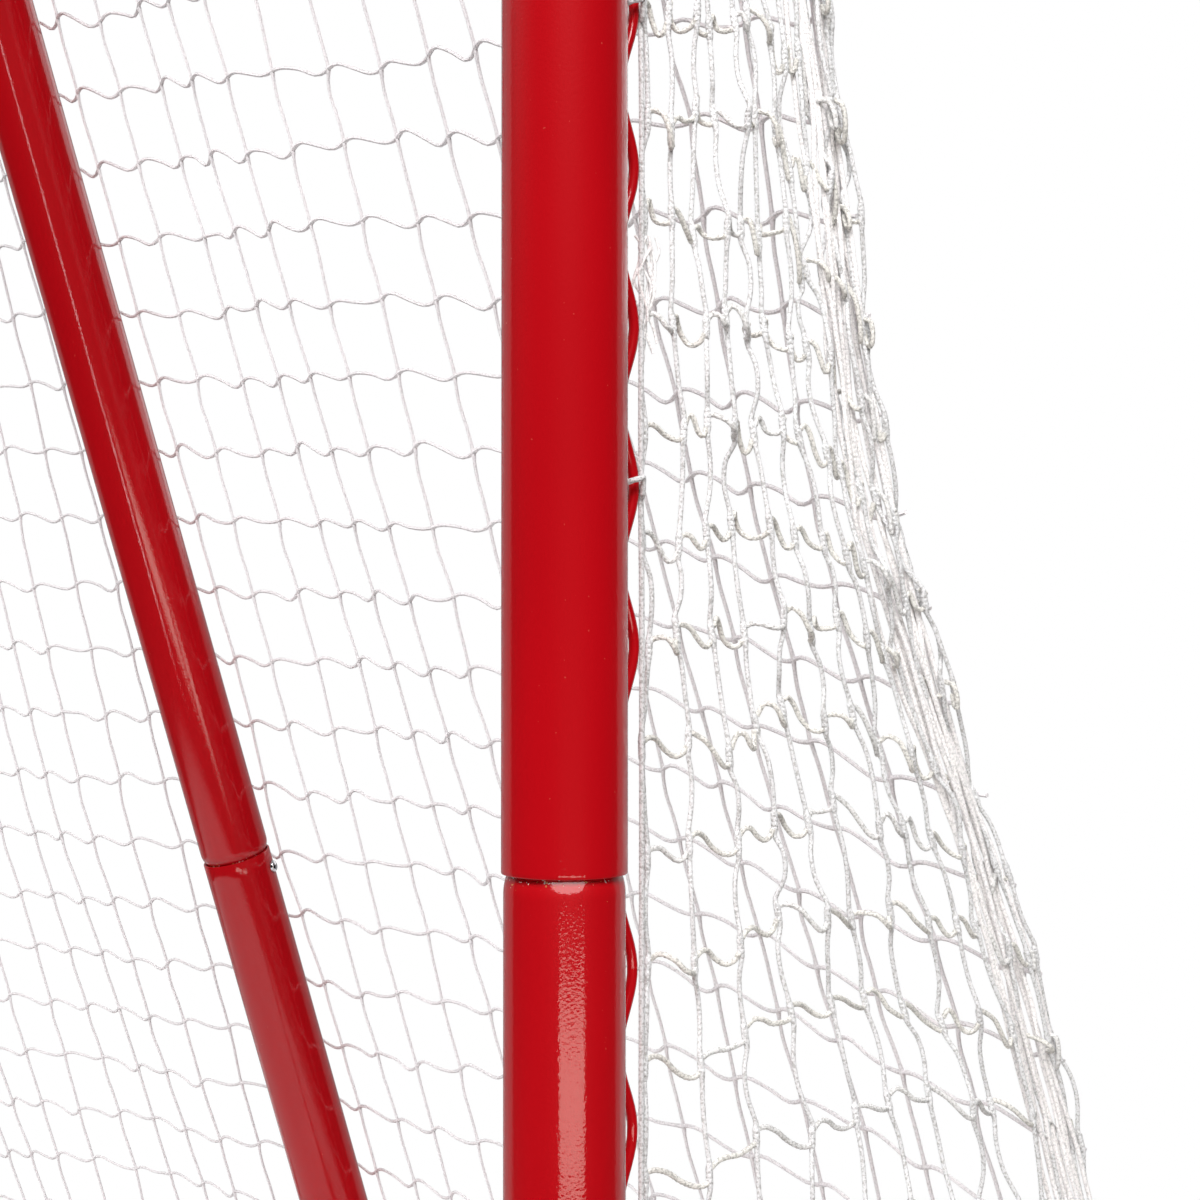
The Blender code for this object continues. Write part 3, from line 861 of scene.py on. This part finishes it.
def back_net(white):
    upright, cross = Strands(BACK_NORMAL), Strands(BACK_NORMAL)
    knots = {}
    for j in BACK_COLUMNS:
        for k in range(ROWS + 1):
            z = TOP_Z - MESH * k
            x = column_x(j, z)
            knots[j, k] = (x + RANDOM.normal(0, 0.0012), z + drift(x, z) + RANDOM.normal(0, 0.0018))
    for j in BACK_COLUMNS:
        control = []
        head = column_x(j, TOP_Z)
        top = back_top(head)
        below = [knots[j, k] for k in range(1, ROWS + 1)]
        spots = [(head, top)] + [spot for spot in below if spot[1] < top - 0.012]
        for (x, z), (next_x, next_z) in zip(spots, spots[1:]):
            bow = RANDOM.normal(0.0022, 0.0014)
            for t, swell in ((0, 0.35), (0.05, 0.3), (0.1, 0), (0.35, 0), (0.65, 0), (0.92, 0)):
                lean = -bow * math.sin(math.pi * min(1.0, t * 1.25)) * (1 - t)
                point = back_point(x + (next_x - x) * t + lean, z + (next_z - z) * t)
                control.append((*point, TWINE_R * BACK_TWINE * (1 + swell)))
        control.append((*back_point(*knots[j, ROWS]), TWINE_R * BACK_TWINE))
        upright.add(control, 0.0055)
    for k in range(1, ROWS + 1):
        row = [knots[j, k] for j in BACK_COLUMNS]
        z = TOP_Z - MESH * k
        reach = min(HALF_WIDTH, HALF_WIDTH - CORNER + TOP_Z - z)
        ends = [(way * reach, z + drift(way * reach, z)) for way in (-1, 1)]
        row = [spot for spot in (ends[0], *row, ends[1]) if abs(spot[0]) <= reach]
        control = []
        for (x, z), (next_x, next_z) in zip(row, row[1:]):
            rise, sag = abs(RANDOM.normal(0.0028, 0.001)), abs(RANDOM.normal(0.0032, 0.0012))
            pitch = next_x - x
            shape = ((0, 0, 0.3), (0.1, 0.8 * rise, 0.1), (0.25, rise, 0), (0.5, 0, 0),
                     (0.75, -sag, 0), (0.92, -0.6 * sag, 0.1))
            for t, lift, swell in shape:
                along = min(1.0, pitch / 0.03)
                point = back_point(x + pitch * t, z + (next_z - z) * t + lift * along)
                control.append((*point, TWINE_R * BACK_TWINE * (1 + swell)))
        control.append((*back_point(*row[-1]), TWINE_R * BACK_TWINE))
        cross.add(control, 0.005, tint=0.35)
    hem_of_back(cross)
    place_net("net_back", "_uprights", upright, white)
    place_net("net_back", "_crossings", cross, white)


def place_net(node, kind, strands, white):
    place(node + kind, strands.mesh(node + kind), white, (node,))


def hem_of_back(strands):
    """The top edge, its two diagonal corners and the bottom edge, in doubled twine."""
    inner = HALF_WIDTH - CORNER
    for lift in DOUBLED:
        top = [(-HALF_WIDTH, SIDE_TOP - lift), (-inner, TOP_Z - lift)]
        for x in np.linspace(-inner, inner, 40)[1:-1]:
            top.append((x, TOP_Z - lift + RANDOM.normal(0, 0.0006)))
        top += [(inner, TOP_Z - lift), (HALF_WIDTH, SIDE_TOP - lift)]
        low = [(x, BOTTOM_Z + lift + RANDOM.normal(0, 0.0006))
               for x in np.linspace(-HALF_WIDTH, HALF_WIDTH, 44)]
        for line in (top, low):
            strands.add([(*back_point(x, z), TWINE_R) for x, z in line], 0.005)


def side_low(near):
    """The height of a side's lower edge: level over the rail, and up round its bend."""
    if near >= BEND_R:
        return SIDE_LOW
    return BASE_Z + BEND_R - math.sqrt(max(0.0, (BEND_R - EDGE) ** 2 - (BEND_R - near) ** 2))


def edge_near(height):
    """How far behind the post the lower edge is at a height inside the bend."""
    rise = BASE_Z + BEND_R - height
    return BEND_R - math.sqrt(max(0.0, (BEND_R - EDGE) ** 2 - rise**2))


def side_depth(index, z, way):
    """A side column behind the post's axis. The rear ones crowd together above the rail."""
    crowd = 1 + 0.45 * ease((z - 0.1) / 0.5)
    share = 1 - (1 - index / SIDE_COLUMNS) ** crowd
    return EDGE + (depth(z, way) - EDGE) * share


def side_row(index, z):
    """A row's height at a side column: up a little from the post, then down to the fold."""
    rise = (0.004 + 0.03 * min(0.4, max(0.0, 1.1 - z))) * ease(index / 4.5)
    fall = -0.036 * ease((index - 4.0) / 8.0)
    hang = (drift(HALF_WIDTH, z) + 0.028) * ease((TOP_Z - z) / 0.3)
    fade = ease((SIDE_TOP - z) / 0.15) * ease((z - SIDE_LOW) / 0.2)
    return z + (rise + fall + min(0.0, hang)) * fade


def side_strands(step, way, braided):
    """The vertical and the cross strands of one side."""
    upright, cross = Strands(SIDE_NORMAL, braided), Strands(SIDE_NORMAL, braided)
    levels = [TOP_Z - MESH * k for k in range(2, ROWS + 1) if TOP_Z - MESH * k > SIDE_LOW + 0.01]
    knots, loose_ends = {}, set()
    for i in range(SIDE_COLUMNS + 1):
        loose = 0.0013 if i < SIDE_COLUMNS else 0.0006
        for k, z in enumerate(levels):
            height = side_row(i, z) + RANDOM.normal(0, 0.0035 if i else 0.001)
            height = max(SIDE_LOW + 0.004, min(SIDE_TOP - 0.004, height))
            near = side_depth(i, height, way) + RANDOM.normal(0, loose)
            aside = way * (HALF_WIDTH + RANDOM.normal(0, 0.0026 * min(1.0, i / 3)))
            if i == 0:
                aside, near = aside - way * 0.0022, near + 0.0009
            if height < side_low(near) + 0.008:
                near = max(near, edge_near(height))
                loose_ends.add((i, k))
            tied = corner_pull(height) * near / depth(height, way)
            knots[i, k] = np.array([aside - way * tied, POST_Y + near - tied, height])
    for i in range(SIDE_COLUMNS + 1):
        spots = [knots[i, k] for k in range(len(levels)) if (i, k) not in loose_ends]
        top_depth = EDGE + (depth(SIDE_TOP, way) - EDGE) * (0.15 + 0.7 * i / SIDE_COLUMNS)
        near = max(EDGE, side_depth(i, SIDE_LOW, way))
        tied = corner_pull(SIDE_LOW) * near / depth(SIDE_LOW, way)
        bottom = np.array([way * (HALF_WIDTH - tied), POST_Y + near - tied, side_low(near)])
        control = [(way * HALF_WIDTH, POST_Y + top_depth, SIDE_TOP, TWINE_R)]
        for spot, after in zip(spots, spots[1:] + [bottom]):
            away = after - spot
            bow = RANDOM.normal(0.0, 0.0014, 3) * (1, 1, 0)
            lean = np.array([0, RANDOM.normal(0.0, 0.0012), 0])
            for t in (-0.14, -0.07, 0.0, 0.07, 0.14):
                swell = 1.35 if abs(t) < 0.1 else 0.95
                point = spot + away / np.linalg.norm(away) * KNOT_SPAN * t + lean * t
                control.append((*point, TWINE_R * swell))
            control += [(*(spot + away * t + bow), TWINE_R * 0.9) for t in (0.35, 0.6)]
        control.append((*bottom, TWINE_R))
        upright.add(control, step)
    for k in range(len(levels)):
        for i in range(SIDE_COLUMNS):
            if (i + 1, k) in loose_ends:
                continue
            strand = slack_strand(knots[i, k], knots[i + 1, k], i, way)
            tint = 0.85 if RANDOM.random() < 0.75 else 0.3
            cross.add(strand, step, tint=tint)
    return upright, cross


def slack_strand(start, end, index, way):
    """The cross strand between two knots. It is longer than the gap, so it curls or droops."""
    start, end = start + (0, 0.0008, 0.003), end + (0, -0.0008, -0.003)
    gap = end - start
    spare = max(0.0, 0.034 - np.linalg.norm(gap))
    kind = RANDOM.random()
    size = 0.3 + 0.7 * min(1.0, spare / 0.02)
    lift = size * (0.0042 if kind < 0.45 else 0.0012) * (0.6 + 0.8 * RANDOM.random())
    droop = size * (0.0052 if 0.2 < kind < 0.75 else 0.001) * (0.6 + 0.8 * RANDOM.random())
    if index >= 8:
        droop *= 1.6
        lift *= 0.5
    aside = max(-0.009, min(0.009, way * spare * RANDOM.normal(0.0, 0.28)))
    shape = (
        (0.0, 0.0, 0.0),
        (0.16, lift, 0.3),
        (0.36, lift * 0.75, 0.8),
        (0.55, -droop * 0.45, 1.0),
        (0.76, -droop, 0.8),
        (0.92, -droop * 0.7, 0.3),
        (1.0, 0.0, 0.0),
    )
    return [(*(start + gap * t + (aside * out, 0, rise)), TWINE_R) for t, rise, out in shape]


def folded_strands(strands, step, way):
    """Slack folded up into a bundle just inside the rear edge, which fans out low down."""
    for n in range(FOLDED_STRANDS):
        phase, pace = RANDOM.random() * 6, 20 + 12 * RANDOM.random()
        control = []
        for z in np.linspace(SIDE_LOW, SIDE_TOP - 0.02 * (1 + n % 3), 80):
            sway = 0.0022 * math.sin(z * pace + phase) + RANDOM.normal(0, 0.0005)
            spread = 0.0021 + 0.012 * ease((0.52 - z) / 0.4)
            near = side_depth(10.4, z, way) - spread * (n - 4) + sway
            near = max(EDGE, min(near, depth(z, way) - 0.002))
            tied = corner_pull(z) * near / depth(z, way)
            aside = HALF_WIDTH + 0.003 * math.sin(z * pace * 0.7 + n) - 0.0015 - tied
            control.append((way * aside, POST_Y + near - tied, z, TWINE_R))
        strands.add(control, step, tint=0.12 * (n % 3))


def frayed_end(strands, way):
    """The lacing cord's loose end, come apart into its yarns beside the post."""
    for n in range(FRAYED_YARNS):
        aside = way * (HALF_WIDTH - 0.0005) + RANDOM.normal(0, 0.0012)
        near = POST_Y + EDGE - 0.003 + 0.0009 * n
        length = 0.03 + 0.022 * RANDOM.random()
        control = []
        for t in np.linspace(0, 1, 8):
            sway = 0.0022 * math.sin(t * 7 + n) + RANDOM.normal(0, 0.0006)
            control.append((aside + sway * 0.5, near + sway, FRAYED_TOP - length * t, TWINE_R / 2))
        strands.add(control, 0.001, tint=0.1)


def side_net(side, way, white, fold_lit_white, step, braided):
    """One side of the net. Only the side near the camera has braided twine."""
    upright, cross = side_strands(step, way, braided)
    folds = Strands(SIDE_NORMAL, braided)
    folded_strands(folds, step, way)
    if braided:
        frayed_end(folds, way)
    hem_of_side(cross, step, way)
    place_net("net_" + side, "_uprights", upright, white)
    place_net("net_" + side, "_crossings", cross, white)
    # The folds take the twine that is painted lighter against their own shade.
    place_net("net_" + side, "_folds", folds, fold_lit_white)


def hem_of_side(strands, step, way):
    """The lower edge, in doubled twine: round the rail's front bend and along the rail."""
    for line in DOUBLED:
        low = []
        for turn in np.linspace(0, 1, 9)[:-1]:
            near = BEND_R - (BEND_R - EDGE) * math.cos(math.radians(90) * turn)
            low.append((way * (HALF_WIDTH + line), POST_Y + near, side_low(near)))
        for near in np.linspace(BEND_R, depth(SIDE_LOW, way), 16):
            tied = corner_pull(SIDE_LOW) * near / depth(SIDE_LOW, way)
            height = SIDE_LOW + RANDOM.normal(0, 0.0005)
            low.append((way * (HALF_WIDTH + line - tied), POST_Y + near - tied, height))
        strands.add([(*p, TWINE_R) for p in low], step, tint=0.2)


# Stage

def area_light(name, spot, target, width, height, power, shape="RECTANGLE"):
    data = bpy.data.lights.new(name, "AREA")
    data.shape = shape
    data.size, data.size_y, data.energy = width, height, power
    item = added(name, data)
    item.location = spot
    item.rotation_euler = (target - spot).to_track_quat("-Z", "Y").to_euler()
    item.visible_camera = False
    return item


POST = Vector((HALF_WIDTH, POST_Y, 0))
LOOK = Vector((-0.7947, 0.6070, 0)).normalized()  # level direction of the camera's view
LOOK_RIGHT = Vector((0.6070, 0.7947, 0)).normalized()
CAMERA_HEIGHT = 0.86
CAMERA_BACK = 0.841  # camera to the near post, along its view
CAMERA_PITCH = math.radians(0.76)
FLOOR_R = 1.5


def make_camera():
    data = bpy.data.cameras.new("camera")
    data.sensor_width = 36
    data.lens = 63
    data.clip_start = 0.01
    item = added("camera", data)
    item.location = POST - LOOK * CAMERA_BACK + LOOK_RIGHT * 0.0142 + Z * CAMERA_HEIGHT
    aim = LOOK * math.cos(CAMERA_PITCH) + Z * math.sin(CAMERA_PITCH)
    item.rotation_euler = aim.to_track_quat("-Z", "Y").to_euler()
    bpy.context.scene.camera = item


def lit_only(light, *names):
    """Let a light fall on the named pieces alone."""
    group = bpy.data.collections.new(light.name + "_group")
    for name in names:
        group.objects.link(bpy.data.objects[name])
    light.light_linking.receiver_collection = group


def shine_only(light, name):
    """Let a light show in one piece's gloss and nowhere else."""
    lit_only(light, name)
    light.visible_diffuse = False


def make_lights():
    def from_post(azimuth, elevation, distance, height):
        """A spot seen from the near post, azimuth turned right from the camera's side."""
        turn, up = math.radians(azimuth), math.radians(elevation)
        away = -LOOK * math.cos(turn) + LOOK_RIGHT * math.sin(turn)
        return POST + Z * height + (away * math.cos(up) + Z * math.sin(up)) * distance

    area_light("key", from_post(8, 50, 2.5, 0.8), POST + Z * 0.8, 1.4, 1.2, 72)
    area_light("fill", Vector((-0.9, -1.9, 2.6)), Vector((0, 0, 0.7)), 1.8, 1.2, 35)
    panel = from_post(15, -18.5, 2.05, 0.88)
    warm = area_light("low_panel", panel, POST + Z * 0.6, 1.7, 0.3, 7.5)
    warm.data.color = (1.0, 0.9, 0.8)
    beside = Vector((1.33, -1.5, 0.78))
    streak = area_light("stay_strip", beside, Vector((0, -0.1, 1.0)), 0.1, 1.3, 3)
    shine_only(streak, "stay_upper_coated")
    shoulder = from_post(8, 27, 1.5, 0.7)
    shine = area_light("shoulder_panel", shoulder, POST + Z * 0.7, 1.8, 1.0, 24, "ELLIPSE")
    shine_only(shine, "post_lower_right_coated")
    net_fill = area_light("net_fill", from_post(-15, 25, 5, 0.9), POST + Z * 0.8, 2.5, 2.5, 155)
    kinds = ("_uprights", "_crossings", "_folds", "_braided")
    lit_only(net_fill, *[item.name for item in bpy.data.objects if item.name.endswith(kinds)])
    area_light("back", Vector((-0.6, 2.6, 2.2)), Vector((0, 0, 0.8)), 2.6, 1.6, 14)


def make_world():
    """White behind the object, dim towards the camera's side, and plain white to the camera."""
    world = bpy.data.worlds.new("studio")
    bpy.context.scene.world = world
    made = Nodes(world)
    made.tree.nodes.clear()
    where = made.node("TexCoord").outputs["Generated"]

    def toward(direction, low, high, dim, bright):
        """Dim away from a direction and bright towards it, changing between two cosines."""
        dot = made.node("VectorMath")
        dot.operation = "DOT_PRODUCT"
        dot.inputs[1].default_value = direction
        share = made.node("MapRange")
        share.interpolation_type = "SMOOTHSTEP"
        for socket, value in zip(share.inputs[1:5], (low, high, dim, bright)):
            socket.default_value = value
        made.link(where, dot.inputs[0])
        made.link(dot.outputs["Value"], share.inputs["Value"])
        return share.outputs["Result"]

    behind = toward(LOOK, 0.33, 0.43, 0.02, 1.0)
    right = toward(LOOK_RIGHT, -0.2, 0.3, 0.42, 0.45)
    above = toward(Z, 0.5, 0.8, 0.0, 0.5)
    level = made.math("MAXIMUM", made.math("MULTIPLY", behind, right), above)
    lit, white = made.node("Background"), made.node("Background")
    white.inputs["Color"].default_value = (1, 1, 1, 1)
    made.link(level, lit.inputs["Strength"])
    camera = made.node("LightPath").outputs["Is Camera Ray"]
    mixed = made.mix_shader(camera, lit.outputs["Background"], white.outputs["Background"])
    made.link(mixed, made.node("OutputWorld").inputs["Surface"])


def make_floor():
    """A pale floor that fades into the white background at its rim."""
    bpy.ops.mesh.primitive_circle_add(vertices=128, radius=FLOOR_R, fill_type="NGON")
    floor = bpy.context.object
    floor.name = "floor"
    floor.location = (0, 0, CAD_LOW.z - 0.0005)
    made = Surface("floor", 0.7)
    made.colour(made.ramp(made.noise(3, 3), 0.3, 0.7, (0.84,) * 3, (0.87,) * 3))
    glow = made.node("Emission")
    reach = made.node("VectorMath")
    reach.operation = "LENGTH"
    made.link(made.where, reach.inputs[0])
    fade = made.ramp(made.math("DIVIDE", reach.outputs["Value"], FLOOR_R), 0.62, 0.97)
    mixed = made.mix_shader(fade, made.shader.outputs["BSDF"], glow.outputs["Emission"])
    made.link(mixed, made.tree.nodes["Material Output"].inputs["Surface"])
    floor.data.materials.append(made.material)


def main():
    make_camera()
    make_world()
    make_floor()
    red = powder_coat("red_powder_coat", (0.56, 0.0025, 0.0075), 0.00006)
    rod_red = powder_coat("rod_powder_coat", (0.56, 0.003, 0.008), 0.00002)
    make_tubes(red)
    weld_beads(red)
    make_buttons(spring_steel(), chrome())
    white = twine("near_twine", (0.71, 0.71, 0.72), (0.45, 0.445, 0.44), (0.68, 0.66, 0.615), 0.16)
    # Painted light: the back net is the same twine as the near one, painted lighter and with a lilac
    # cast to make up for the dimmer light it gets.
    back_lit_white = twine("back_twine", (0.82, 0.79, 0.805), (0.7, 0.67, 0.685), (0.8, 0.77, 0.775), 0.2)
    # Painted light: the folded bundle is the same twine, painted lighter and warmer to cancel the shade
    # its crowded strands cast on each other.
    bundle = ((0.9, 0.875, 0.875), (0.68, 0.665, 0.665), (0.86, 0.83, 0.8))
    fold_lit_white = twine("fold_twine", *bundle, 0.16)
    make_lacing(rod_red, white)
    back_net(back_lit_white)
    side_net("right", 1, white, fold_lit_white, 0.0011, True)
    side_net("left", -1, white, fold_lit_white, 0.0026, False)
    make_lights()


main()
bpy.context.scene.view_settings.view_transform = "Standard"
